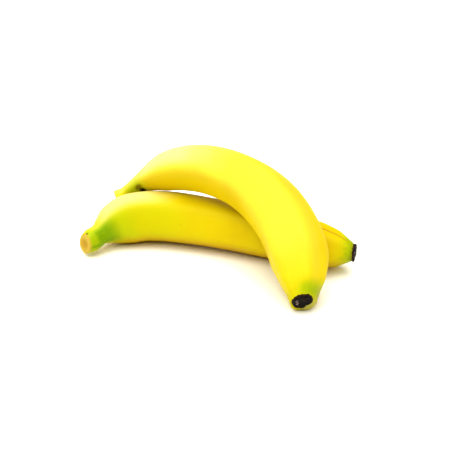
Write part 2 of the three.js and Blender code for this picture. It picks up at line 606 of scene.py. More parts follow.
class GeometryTree(Tree):
    """A Geometry Nodes tree with named inputs, run once on a mesh to make a plain mesh."""

    def __init__(self, name: str, numbers: Sequence[str], whole: Sequence[str] = ()) -> None:
        """Makes the tree's inputs, the last of which is the material.

        Args:
            name: The tree's name.
            numbers: The names of its inputs that are numbers.
            whole: The names of its inputs that are whole numbers.
        """
        super().__init__(bpy.data.node_groups.new(name, "GeometryNodeTree"))
        kinds = dict.fromkeys(whole, "NodeSocketInt") | dict.fromkeys(numbers, "NodeSocketFloat")
        kinds["Material"] = "NodeSocketMaterial"
        sockets = self.nodes.interface
        sockets.new_socket("Geometry", in_out="INPUT", socket_type="NodeSocketGeometry")
        self.inputs = {
            key: sockets.new_socket(key, in_out="INPUT", socket_type=kind).identifier
            for key, kind in kinds.items()
        }
        sockets.new_socket("Geometry", in_out="OUTPUT", socket_type="NodeSocketGeometry")
        self.entry = self.node("NodeGroupInput")
        self.source = self.entry.outputs["Geometry"]

    def given(self, name: str) -> Number:
        """The number in a named input."""
        return Number(self, self.entry.outputs[name])

    def named(self, name: str, kind: str = "FLOAT") -> Source:
        """An attribute of the geometry that is being worked on."""
        wrap = Arrow if kind == "FLOAT_VECTOR" else Number
        settings = {"data_type": kind}
        return wrap(self, self.made("GeometryNodeInputNamedAttribute", settings, {"Name": name}))

    def sampled(self, value: Source, index: Number, kind: str = "FLOAT") -> Source:
        """A value of the source mesh's vertex with that index."""
        wrap = Arrow if kind == "FLOAT_VECTOR" else Number
        settings = {"data_type": kind, "clamp": True}
        values = {"Geometry": self.source, "Value": value, "Index": index}
        return wrap(self, self.made("GeometryNodeSampleIndex", settings, values))

    def stored(
        self, geometry: bpy.types.NodeSocket, name: str, value: Source
    ) -> bpy.types.NodeSocket:
        """Keeps a value on the geometry as a named attribute."""
        kind = "FLOAT_VECTOR" if isinstance(value, Arrow) else "FLOAT"
        settings = {"data_type": kind, "domain": "POINT"}
        values = {"Geometry": geometry, "Name": name, "Value": value}
        return self.made("GeometryNodeStoreNamedAttribute", settings, values)

    def random(self, low: Number | float, high: Number | float, seed: int) -> Number:
        """A random number for each point or instance, with a fixed seed."""
        values = {2: low, 3: high, "Seed": seed}
        return Number(self, self.made("FunctionNodeRandomValue", {"data_type": "FLOAT"}, values, 1))

    def close(self, geometry: bpy.types.NodeSocket) -> None:
        """Ends the tree: instances are made real and take the material.

        Args:
            geometry: The finished geometry.
        """
        real = self.made("GeometryNodeRealizeInstances", values={"Geometry": geometry})
        values = {"Geometry": real, "Material": self.entry.outputs["Material"]}
        dressed = self.made("GeometryNodeSetMaterial", values=values)
        self.node("NodeGroupOutput", values={"Geometry": dressed})

    def run(
        self,
        name: str,
        mesh: bpy.types.Mesh,
        material: bpy.types.Material,
        numbers: Mapping[str, float],
    ) -> bpy.types.Object:
        """Runs the tree on a mesh.

        Args:
            name: The piece's name.
            mesh: The mesh that the tree starts from.
            material: The piece's material.
            numbers: The value of each of the tree's other inputs.

        Returns:
            The piece, with a plain mesh and no modifier.
        """
        piece = add_object(name, mesh)
        modifier = piece.modifiers.new("shape", "NODES")
        modifier.node_group = self.nodes
        modifier[self.inputs["Material"]] = material
        for key, value in numbers.items():
            modifier[self.inputs[key]] = value
        graph = bpy.context.evaluated_depsgraph_get()
        made = bpy.data.meshes.new_from_object(
            piece.evaluated_get(graph), preserve_all_data_layers=True, depsgraph=graph
        )
        piece.modifiers.remove(modifier)
        piece.data = made
        made.name = name
        bpy.data.meshes.remove(mesh)
        return piece


class Sweep(GeometryTree):
    """Sweeps the rounded five-sided section along stations.

    The source mesh has a vertex for each station, with its directions onward, left and up, its
    half thickness, ridge strength, twist, oblique shift, distance and share along the banana, and
    how much it swells and wrinkles. The result keeps three attributes for the finishes: straight,
    the place on the banana if it were unbent; share; and ridge, which is 1 on a ridge and 0 on a
    flat side.
    """

    FACES = 5
    CORNER_POWER = 7.0
    POLYGON_MEAN = 1.05
    RIDGE_SPAN = (0.97, 1.07)
    SWELL_SCALE = 26.0
    WRINKLE_SCALE = 1100.0
    WRINKLE_STRETCH = (0.05, 1.0, 1.0)

    def __init__(self) -> None:
        """Builds the tree."""
        faces = [f"Face {i + 1}" for i in range(self.FACES)]
        super().__init__("Section sweep", [*faces, "Seed"], ["Sides"])
        sides = self.given("Sides")
        columns = sides + 1.0
        stations = self.made(
            "GeometryNodeAttributeDomainSize", values={"Geometry": self.source}, output="Point Count"
        )
        values = {"Vertices X": stations, "Vertices Y": columns}
        grid = self.made("GeometryNodeMeshGrid", values=values)
        index = Number(self, self.made("GeometryNodeInputIndex"))
        row = ((index + 0.5) / columns).floor()
        angle = (index - row * columns) / sides * TURN

        def read(name: str) -> Number:
            """A station's number, for every vertex of its ring."""
            return self.sampled(self.named(name), row)

        def direction(name: str) -> Arrow:
            """A station's vector, for every vertex of its ring."""
            return self.sampled(self.named(name, "FLOAT_VECTOR"), row, "FLOAT_VECTOR")

        polygon = self._polygon(angle - read("turn"), faces)
        reach = read("half") * (1.0 + read("strength") * (polygon - 1.0))
        straight = self.arrow(read("along"), reach * angle.cosine(), reach * angle.sine())
        raised = reach + self._relief(straight, read)
        position = Arrow(self, self.made("GeometryNodeInputPosition"))
        middle = self.sampled(position, row, "FLOAT_VECTOR")
        outward = direction("left") * angle.cosine() + direction("up") * angle.sine()
        carried = reach * read("oblique") * (angle - read("towards")).cosine()
        x, y, z = (middle + outward * raised + direction("onward") * carried).parts()
        values = {"Geometry": grid, "Position": self.arrow(x, y, z.at_least(0.0))}
        kept = self.made("GeometryNodeSetPosition", values=values)
        kept = self.stored(kept, "straight", straight)
        kept = self.stored(kept, "share", read("share"))
        kept = self.stored(kept, "ridge", polygon.ease(*self.RIDGE_SPAN))
        values = {"Geometry": kept, "Distance": SEAM}
        merged = self.made("GeometryNodeMergeByDistance", values=values)
        self.close(self.made("GeometryNodeSetShadeSmooth", values={"Geometry": merged}))

    def _polygon(self, angle: Number, faces: Sequence[str]) -> Number:
        """How far a rounded polygon with a flat side at each face reaches, for a mean of 1."""
        total: Number | float = 0.0
        for face in faces:
            facing = (angle - self.given(face)).cosine().at_least(0.0)
            total = facing**self.CORNER_POWER + total
        return total ** (-1 / self.CORNER_POWER) / self.POLYGON_MEAN

    def _relief(self, straight: Arrow, read: Callable[[str], Number]) -> Number:
        """How far noise raises the skin: long swells and lengthwise wrinkles."""
        shifted = straight + self.arrow(self.given("Seed"), 0.0, 0.0)
        swell = (self.noise(shifted, self.SWELL_SCALE, detail=1.0) - 0.5) * read("swell")
        drawn = shifted * self.WRINKLE_STRETCH
        wrinkle = (self.noise(drawn, self.WRINKLE_SCALE) - 0.5) * read("wrinkle")
        return swell + wrinkle


class FibreTuft(GeometryTree):
    """Sets short broken fibres all over a mesh.

    SIZES are the values of its inputs, in metres and per square metre. The radii and the rise are
    for a fibre that is 1 thick and 1 long, and each pair is the range of a random number.
    """

    SIZES = {
        "Density": 1.3e6,
        "Thickness": 0.45 * MILLIMETRE,
        "Shortest": 0.25 * MILLIMETRE,
        "Longest": 0.6 * MILLIMETRE,
    }
    SIDES = 4
    ROOT_RADIUS = 0.5
    BROKEN_RADIUS = 0.35
    RISE = 0.1
    WIDTHS = (0.6, 1.3)
    LEANS = (-0.35, 0.35)

    def __init__(self) -> None:
        """Builds the tree."""
        super().__init__("Fibre tuft", list(self.SIZES))
        spread = self.node(
            "GeometryNodeDistributePointsOnFaces",
            {"distribute_method": "RANDOM"},
            {"Mesh": self.source, "Density": self.given("Density"), "Seed": 7},
        )
        values = {
            "Vertices": self.SIDES,
            "Radius Top": self.given("Thickness") * self.BROKEN_RADIUS,
            "Radius Bottom": self.given("Thickness") * self.ROOT_RADIUS,
            "Depth": 1.0,
        }
        fibre = self.made("GeometryNodeMeshCone", values=values)
        values = {"Geometry": fibre, "Translation": (0.0, 0.0, self.RISE)}
        raised = self.made("GeometryNodeTransform", values=values)
        tall = self.random(self.given("Shortest"), self.given("Longest"), 3)
        wide = self.random(*self.WIDTHS, 4)
        values = {
            "Points": spread.outputs["Points"],
            "Instance": raised,
            "Rotation": spread.outputs["Rotation"],
            "Scale": self.arrow(wide, wide, tall),
        }
        stood = self.made("GeometryNodeInstanceOnPoints", values=values)
        lean = self.arrow(self.random(*self.LEANS, 5), self.random(*self.LEANS, 6), 0.0)
        values = {"Instances": stood, "Rotation": lean}
        self.close(self.made("GeometryNodeRotateInstances", values=values))


class ScaleRing(GeometryTree):
    """Sets a dried scale on each point of a ring, along the point's direction onward.

    SIZES are the values of its inputs, in metres, and each pair is the range of a random number.
    """

    SIZES = {"Length": 1.1 * MILLIMETRE, "Width": 2.4 * MILLIMETRE, "Thickness": 0.8 * MILLIMETRE}
    BALL = {"Segments": 8, "Rings": 5, "Radius": 0.5}
    SPREAD = (0.6, 1.25)
    THICKNESSES = (0.7, 1.3)
    LENGTHS = (0.7, 1.2)
    NODS = (-0.3, 0.3)
    TURNS = (-0.5, 0.25)

    def __init__(self) -> None:
        """Builds the tree."""
        super().__init__("Scale ring", list(self.SIZES))
        aimed = self.made(
            "FunctionNodeAlignRotationToVector",
            {"axis": "Z"},
            {"Vector": self.named("onward", "FLOAT_VECTOR")},
        )
        turned = self.made(
            "FunctionNodeAlignRotationToVector",
            {"axis": "X", "pivot_axis": "Z"},
            {"Rotation": aimed, "Vector": self.named("outward", "FLOAT_VECTOR")},
        )
        size = self.random(*self.SPREAD, 11)
        shape = self.arrow(
            self.given("Thickness") * self.random(*self.THICKNESSES, 12),
            self.given("Width") * size,
            self.given("Length") * size * self.random(*self.LENGTHS, 13),
        )
        values = {
            "Points": self.source,
            "Instance": self.made("GeometryNodeMeshUVSphere", values=self.BALL),
            "Rotation": turned,
            "Scale": shape,
        }
        stood = self.made("GeometryNodeInstanceOnPoints", values=values)
        tilt = self.arrow(self.random(*self.NODS, 14), self.random(*self.TURNS, 15), 0.0)
        values = {"Instances": stood, "Rotation": tilt}
        self.close(self.made("GeometryNodeRotateInstances", values=values))


# ---------------------------------------------------------------------------------------------
# Finishes
# ---------------------------------------------------------------------------------------------

# Colours of patches and marks on the peel, some of them painted highlight and painted shade.
FRESH = (0.38, 0.45, 0.003)
GREEN = (0.15, 0.28, 0.002)
# Painted shade: darker orange yellow for faces that turn away from the light.
AMBER_SHADE = (0.58, 0.42, 0.002)
# Painted highlight: a pale sheen laid on faces that turn up towards the light.
CREAM_HIGHLIGHT = (0.74, 0.68, 0.34)
# Painted shade: deep orange for undersides that face the table.
ORANGE_SHADE = (0.55, 0.31, 0.001)
# Painted shade, partly a greener tone: a dimmer yellow for the lower banana's front.
LEMON_SHADE = (0.47, 0.45, 0.002)
# Painted shade: dull khaki for the shaded underside of the nose round the crust.
KHAKI_SHADE = (0.47, 0.38, 0.13)
BRONZE = (0.38, 0.20, 0.01)
UMBER = (0.14, 0.10, 0.003)
OLIVE = (0.17, 0.15, 0.01)
SOOT = (0.010, 0.006, 0.004)


class MaterialTree(Tree):
    """The node tree of a material with one main shader, whose colour is laid on in layers."""

    NEAR_ZERO = 1e-9

    def __init__(self, name: str, colour: Colour) -> None:
        """Makes the material.

        Args:
            name: The material's name.
            colour: Its colour, which layers may go over.
        """
        self.material = bpy.data.materials.new(name)
        self.material.use_nodes = True
        self.colour: Value = colour
        super().__init__(self.material.node_tree)

    def lay(self, mask: Number, colour: Colour) -> None:
        """Lays a colour over the colour so far, as strongly as the mask says."""
        settings = {"data_type": "RGBA", "clamp_factor": True}
        values = {0: mask, 6: self.colour, 7: colour}
        self.colour = self.made("ShaderNodeMix", settings, values, output=2)

    def attribute(self, name: str) -> Number:
        """A number that the mesh keeps at each point."""
        settings = {"attribute_name": name}
        return Number(self, self.made("ShaderNodeAttribute", settings, output="Fac"))

    def straight(self) -> Arrow:
        """The place on the banana if it were unbent: along it, and across it to its left and up."""
        settings = {"attribute_name": "straight"}
        return Arrow(self, self.made("ShaderNodeAttribute", settings, output="Vector"))

    def place(self) -> Arrow:
        """The place on the object, in metres."""
        return Arrow(self, self.made("ShaderNodeTexCoord", output="Object"))

    def away(self, left: Number, up: Number) -> Number:
        """How far a point of the section is from the middle line. It is never quite 0."""
        return (left * left + up * up).at_least(self.NEAR_ZERO) ** 0.5

    def bump(self, height: Number, depth: float) -> bpy.types.NodeSocket:
        """Adds fine relief.

        Args:
            height: The relief, from 0 to 1.
            depth: How deep it is, in metres.

        Returns:
            The normal's socket.
        """
        values = {"Strength": 1.0, "Distance": depth, "Height": height}
        return self.made("ShaderNodeBump", values=values)

    def close(self, values: Mapping[str, Value]) -> bpy.types.Material:
        """Ends the tree with its shader.

        Args:
            values: The values and links of the shader's other sockets.

        Returns:
            The material.
        """
        values = {"Base Color": self.colour, **values}
        shader = self.made("ShaderNodeBsdfPrincipled", values=values)
        self.node("ShaderNodeOutputMaterial", values={"Surface": shader})
        return self.material


@dataclass(frozen=True)
class Tint:
    """A soft patch of another colour on one side of a banana, between two shares of its length.

    It spreads to both sides of an angle round the section. Its ends fade over edge, as a share of
    the length, and its sides over soft, in degrees.
    """

    colour: Colour
    strength: float
    start: float
    end: float
    edge: float
    angle: float
    spread: float
    soft: float


@dataclass(frozen=True)
class DarkSpot:
    """A dark mark on the peel, at a share of the length and an angle round the section. It marks
    real blemishes, and also painted contact shadow.

    Its radius is in millimetres and is stretched lengthwise. Its outline is ragged by that share of
    the radius, and it is at its full strength within core.
    """

    share: float
    angle: float
    radius: float
    stretch: float
    colour: Colour
    strength: float
    ragged: float = 1.2
    core: float = 0.35


@dataclass(frozen=True)
class Freckles:
    """Dots in some of the cells of a pattern.

    Scale is in cells per metre, stretched lengthwise. A dot fades from core to edge, in cells from
    its middle. A cell has a dot where its random number is above rare, in full from sure on.
    """

    scale: float
    stretch: float
    edge: float
    core: float
    rare: float
    sure: float
    strength: float


@dataclass(frozen=True)
class Skin:
    """What the layers of a peel read at each point of it."""

    share: Number
    ridge: Number
    straight: Arrow
    along: Number
    left: Number
    up: Number
    cloud: Number
    streak: Number
    fleck: Number

    def waves(self, clouds: float, streaks: float) -> Number:
        """The share along the banana, made wavy by that much for clouds and for streaks."""
        return self.share + (self.cloud - 0.5) * clouds + (self.streak - 0.5) * streaks


@dataclass(frozen=True)
class PeelFinish:
    """Waxy yellow peel with soft tints, a green nose, streaks, few freckles and dark spots. Some tints
    are painted highlight and painted shade, and one dark spot is partly painted contact shadow.

    Scales of noise are in clouds per metre. A pair of shares along the banana is where a mask
    starts and where it is full.
    """

    name: str
    seed: float
    nose_green: float
    crust_start: float
    tints: tuple[Tint, ...]
    dark_spots: tuple[DarkSpot, ...]
    ripe: Colour = (0.67, 0.54, 0.004)
    deep: Colour = (0.63, 0.48, 0.002)
    unripe: Colour = (0.40, 0.45, 0.003)
    unripe_core: Colour = (0.17, 0.30, 0.002)
    ochre: Colour = (0.50, 0.32, 0.05)
    brown: Colour = (0.16, 0.07, 0.01)

    CLOUD_SCALE = 38.0
    STREAK_SCALE = 420.0
    FLECK_SCALE = 900.0
    FIBRE_SCALE = 2600.0
    PORE_SCALE = 3200.0
    DRAWN_OUT = (0.06, 1.0, 1.0)
    RELIEF = 0.00006
    WAX = {
        "IOR": 1.42,
        "Specular IOR Level": 0.09,
        "Subsurface Weight": 0.08,
        "Subsurface Radius": (1.0, 0.6, 0.05),
        "Subsurface Scale": 0.002,
    }
    NOSE_SPAN = (0.925, 0.98)
    NOSE_CORE_SPAN = (0.955, 0.985)
    FRECKLES = (
        Freckles(210.0, 1.0, edge=0.13, core=0.06, rare=0.86, sure=0.9, strength=0.35),
        Freckles(620.0, 0.6, edge=0.2, core=0.1, rare=0.93, sure=0.96, strength=0.25),
    )
    RAGGED = 0.006
    DRIED_RIM = (0.006, 0.001)
    WITHERED = 0.014
    BLACKENED = (-0.002, 0.001)

    def material(self, shape: BananaShape) -> bpy.types.Material:
        """Builds the material.

        Args:
            shape: The sizes of the banana that the peel is on.

        Returns:
            The material.
        """
        tree = MaterialTree(self.name, self.ripe)
        skin = self._skin(tree)
        tree.lay(skin.cloud.ease(0.3, 0.75), self.deep)
        tree.lay(skin.streak.ease(0.5, 0.85) * 0.35, self.deep)
        for tint in self.tints:
            tree.lay(self._tint_mask(skin, tint) * tint.strength, tint.colour)
        self._nose(tree, skin)
        self._freckles(tree, skin)
        for mark in self.dark_spots:
            tree.lay(self._dark_spot_mask(tree, skin, mark, shape) * mark.strength, mark.colour)
        dry = self._ends(tree, skin)

        fibres = tree.noise(skin.straight * self.DRAWN_OUT, self.FIBRE_SCALE)
        pores = tree.noise(skin.straight, self.PORE_SCALE, detail=1.0)
        relief = tree.bump(fibres * 0.55 + pores * 0.3 + skin.streak * 0.5, self.RELIEF)
        rough = 0.40 + skin.cloud * 0.08 + skin.streak * 0.06 + dry * 0.25
        return tree.close({"Roughness": rough, "Normal": relief, **self.WAX})

    def _skin(self, tree: MaterialTree) -> Skin:
        """Reads the peel's attributes and its main noises."""
        straight = tree.straight() + (self.seed, 0.0, 0.0)
        along, left, up = straight.parts()
        away = tree.away(left, up)
        return Skin(
            share=tree.attribute("share"),
            ridge=tree.attribute("ridge"),
            straight=straight,
            along=along,
            left=left / away,
            up=up / away,
            cloud=tree.noise(straight, self.CLOUD_SCALE, detail=3.0),
            streak=tree.noise(straight * self.DRAWN_OUT, self.STREAK_SCALE, detail=3.0),
            fleck=tree.noise(straight, self.FLECK_SCALE, detail=3.0, rough=0.6),
        )

    def _tint_mask(self, skin: Skin, tint: Tint) -> Number:
        """Where a tint shows: its side of the banana, with wavy ends."""
        wavy = skin.waves(tint.edge, tint.edge * 0.5)
        along = wavy.ease(tint.start - tint.edge, tint.start + tint.edge)
        along = along * wavy.ease(tint.end + tint.edge, tint.end - tint.edge)
        angle = math.radians(tint.angle)
        side = skin.left * math.cos(angle) + skin.up * math.sin(angle)
        outer = math.cos(math.radians(min(tint.spread + tint.soft, 180.0)))
        inner = math.cos(math.radians(max(tint.spread - tint.soft, 0.0)))
        return along * side.ease(outer, inner)

    def _nose(self, tree: MaterialTree, skin: Skin) -> None:
        """Lays unripe green over the nose, in streaks that run to the tip."""
        wavy = skin.waves(0.05, 0.03)
        nose = wavy.ease(*self.NOSE_SPAN) * self.nose_green
        core = nose * wavy.ease(*self.NOSE_CORE_SPAN)
        tree.lay(nose * 0.8, self.unripe)
        tree.lay(core * 0.8, self.unripe_core)
        tree.lay(core * skin.streak.ease(0.5, 0.68) * 0.25, OLIVE)

    def _freckles(self, tree: MaterialTree, skin: Skin) -> None:
        """Adds freckles to the body, and scuffs to its ridges."""
        body = skin.share.ease(0.1, 0.2) * skin.share.ease(0.95, 0.9)
        for kind in self.FRECKLES:
            centre, lot = tree.cells(skin.straight * (kind.stretch, 1.0, 1.0), kind.scale)
            dots = centre.ease(kind.edge, kind.core) * lot.ease(kind.rare, kind.sure)
            tree.lay(dots * body * kind.strength, self.brown)
        scuff = skin.ridge.ease(0.75, 1.0) * skin.fleck.ease(0.6, 0.74)
        tree.lay(scuff * body * 0.25, self.brown)

    def _dark_spot_mask(
        self, tree: MaterialTree, skin: Skin, mark: DarkSpot, shape: BananaShape
    ) -> Number:
        """Where a dark spot shows, measured along the banana and round its section."""
        angle = math.radians(mark.angle)
        reach = Curve(shape.half)(mark.share) * MILLIMETRE
        along = mark.share * shape.length * MILLIMETRE + self.seed
        middle = (along, reach * math.cos(angle), reach * math.sin(angle))
        here = tree.arrow(skin.along, skin.left * reach, skin.up * reach)
        offset = (here - middle) * (1 / mark.stretch, 1.0, 1.0)
        radius = mark.radius * MILLIMETRE
        ragged = offset.length() + (skin.fleck - 0.5) * radius * mark.ragged
        return ragged.ease(radius, radius * mark.core)

    def _ends(self, tree: MaterialTree, skin: Skin) -> Number:
        """Dries the rim of the cut stem, and withers and blackens the skin under the crust.

        Args:
            tree: The material's tree.
            skin: What the layers read.

        Returns:
            How black and dry the skin is.
        """
        ragged = skin.share + (skin.fleck + skin.streak - 1.0) * self.RAGGED
        withered = ragged.ease(self.crust_start - self.WITHERED, self.crust_start)
        black = ragged.ease(*(self.crust_start + offset for offset in self.BLACKENED))
        tree.lay(ragged.ease(*self.DRIED_RIM) * 0.7, self.ochre)
        tree.lay(withered * 0.7, OLIVE)
        tree.lay(black, SOOT)
        return black


@dataclass(frozen=True)
class CutStemFinish:
    """The dry, fibrous cut face of a stem: ochre, tan in the middle, with brown strands."""

    name: str = "cut_stem"
    pale: Colour = (0.54, 0.40, 0.06)
    tan: Colour = (0.42, 0.25, 0.02)
    brown: Colour = (0.25, 0.13, 0.02)

    CLOUD_SCALE = 260.0
    GRAIN_SCALE = 1500.0
    STRAND_SCALE = 900.0
    CORE = (0.0058, 0.0018)
    RELIEF = 0.00025

    def material(self) -> bpy.types.Material:
        """Builds the material.

        Returns:
            The material.
        """
        tree = MaterialTree(self.name, self.pale)
        place = tree.place()
        cloud = tree.noise(place, self.CLOUD_SCALE, detail=3.0)
        grain = tree.noise(place, self.GRAIN_SCALE, detail=3.0, rough=0.6)
        strand, lot = tree.cells(place, self.STRAND_SCALE)
        _, left, up = tree.straight().parts()
        away = tree.away(left, up) + (cloud - 0.5) * 0.004 + (grain - 0.5) * 0.002
        tree.lay(away.ease(*self.CORE) * 0.9, self.tan)
        tree.lay(grain.ease(0.5, 0.75) * 0.5, self.tan)
        dots = strand.ease(0.35, 0.1) * lot.ease(0.7, 0.85)
        tree.lay(dots * 0.35, self.brown)
        return tree.close(
            {
                "Roughness": 0.78 + grain * 0.15,
                "Specular IOR Level": 0.2,
                "Normal": tree.bump(grain + strand * 0.6, self.RELIEF),
            }
        )


@dataclass(frozen=True)
class DriedTipFinish:
    """The dried blossom: nearly black and wrinkled, with dull glints, brown edges and pale patches that
    are partly dried scar and partly painted glint.
    """

    name: str = "dried_tip"
    soot: Colour = (0.005, 0.003, 0.002)
    bark: Colour = (0.028, 0.012, 0.005)
    umber: Colour = (0.036, 0.017, 0.003)
    # Pale pinkish grey, partly dried scar and partly painted glint.
    ash_and_glint: Colour = (0.30, 0.22, 0.22)

    CLOUD_SCALE = 420.0
    GRAIN_SCALE = 1900.0
    RELIEF = 0.0005

    def material(self) -> bpy.types.Material:
        """Builds the material.

        Returns:
            The material.
        """
        tree = MaterialTree(self.name, self.soot)
        place = tree.place()
        cloud = tree.noise(place, self.CLOUD_SCALE, detail=4.0, rough=0.6)
        grain = tree.noise(place, self.GRAIN_SCALE, detail=3.0, rough=0.6)
        edge = tree.attribute("rim") + (grain - 0.5) * 0.25
        scar_glint = tree.attribute("scar_glint") + (grain - 0.5) * 0.9 + (cloud - 0.5) * 0.6
        tree.lay(cloud.ease(0.45, 0.7), self.bark)
        tree.lay(edge.ease(0.88, 1.02), self.umber)
        # Pale patches, partly dried scar and partly painted glint.
        tree.lay(scar_glint.ease(0.25, 1.1), self.ash_and_glint)
        return tree.close(
            {
                "Roughness": 0.25 + grain * 0.4,
                "Specular IOR Level": 0.14,
                "Normal": tree.bump(cloud * 0.6 + grain * 0.7, self.RELIEF),
            }
        )


# ---------------------------------------------------------------------------------------------
# One banana
# ---------------------------------------------------------------------------------------------


@dataclass(frozen=True)
class ScarAndGlint:
    """A pale, uncrusted bump on the crust, partly dried scar and partly painted glint: its place in
    the section, its radius and how pale it is.
    """

    x: float
    y: float
    radius: float
    paleness: float


@dataclass(frozen=True)
class DriedCap:
    """The dried scar of the blossom: an uneven oval crust with a rim, set into the blunt tip.

    Lengths are in millimetres, and angles are in degrees round the section. The crust is rooted
    that deep under the skin, and its top is never lower over the skin than least. Its middle is
    shifted from the section's, and a notch takes that share of its reach away on one side. Dried
    scales stand round it and lean out by flare.
    """

    long_radius: float
    short_radius: float
    long_towards: float
    height: float
    root: float
    least: float
    seed: int
    shift: float = 0.0
    shift_towards: float = 0.0
    notch: float = 0.0
    notch_towards: float = 0.0
    scars_and_glints: tuple[ScarAndGlint, ...] = ()
    scales: int = 0
    flare: float = 0.0
    rings: int = 34
    sides: int = 128

    UNEVEN = 0.09
    UNEVEN_WAVES = 3
    RIM_AT = 0.84
    RIM_WIDTH = 0.16
    FLOOR_HEIGHT = 0.45
    RIM_HEIGHT = 0.55
    SCAR_HEIGHT = 0.5
    ROUGHNESS = 0.55
    ROUGH_SCALE = 0.9
    ROUGH_FRACTAL = (1.0, 2.0, 4)
    CALM_MIDDLE = 0.25

    def reach(self, angle: float) -> float:
        """How far the crust's edge is from its middle in a direction, in radians."""
        turned = angle - math.radians(self.long_towards)
        oval = math.hypot(math.cos(turned) / self.long_radius, math.sin(turned) / self.short_radius)
        facing = math.cos(angle - math.radians(self.notch_towards))
        dent = 1 - self.notch * max(0.0, facing) ** 3
        around = Vector((math.cos(angle), math.sin(angle), 0)) * self.UNEVEN_WAVES
        around.z = self.seed
        return dent / oval * (1 + self.UNEVEN * noise.noise(around))

    def spot(self, share: float, angle: float) -> tuple[float, float]:
        """Where a point of the crust is in the tip's section.

        Args:
            share: The share of the crust's reach.
            angle: The direction from the crust's middle.

        Returns:
            The distance and the direction from the section's middle.
        """
        reach, towards = self.reach(angle) * share, math.radians(self.shift_towards)
        x = reach * math.cos(angle) + self.shift * math.cos(towards)
        y = reach * math.sin(angle) + self.shift * math.sin(towards)
        return math.hypot(x, y), math.atan2(y, x)

    def height_at(self, share: float, angle: float, seat: Vector) -> float:
        """How high the crust stands over the skin: a rim round a rough hollow.

        Args:
            share: The share of the crust's reach.
            angle: The direction from the crust's middle.
            seat: The point of the skin under it.

        Returns:
            The height.
        """
        out = (share - self.RIM_AT) / self.RIM_WIDTH
        rise = math.exp(-(out**2)) - max(0.0, out) ** 2
        where = seat * self.ROUGH_SCALE + Vector((self.seed, 0, 0))
        rough = noise.fractal(where, *self.ROUGH_FRACTAL) * min(1.0, share / self.CALM_MIDDLE)
        height = self.height * (self.FLOOR_HEIGHT + self.RIM_HEIGHT * rise)
        height += self.SCAR_HEIGHT * self.scar_and_glint(share, angle)
        return max(self.least, height + rough * self.ROUGHNESS)

    def scar_and_glint(self, share: float, angle: float) -> float:
        """How pale the crust is, partly for dried scar and partly as painted glint: 1 in the middle of a
        scar, and 0 well away from all.
        """
        place = Vector((math.cos(angle), math.sin(angle))) * (self.reach(angle) * share)
        most = 0.0
        for scar in self.scars_and_glints:
            away = (place - Vector((scar.x, scar.y))).length / scar.radius
            most = max(most, scar.paleness * math.exp(-(away**2)))
        return most


@dataclass(frozen=True)
class EndFrame:
    """Where one end of a banana is, and how it leans."""

    middle: Vector
    axes: Matrix
    slope: float
    towards: float

    def offset(self, angle: float) -> Vector:
        """The direction in the section at an angle."""
        return self.axes.col[1] * math.cos(angle) + self.axes.col[2] * math.sin(angle)

    def point(self, reach: float, angle: float, out: float) -> Vector:
        """A point over the end: its reach and angle in the section, and how far it stands out."""
        carried = self.slope * reach * math.cos(angle - self.towards)
        return self.middle + self.offset(angle) * reach + self.axes.col[0] * (carried + out)


@dataclass(frozen=True)
class Trees:
    """The geometry trees that both bananas share."""

    sweep: Sweep
    tuft: FibreTuft
    scales: ScaleRing


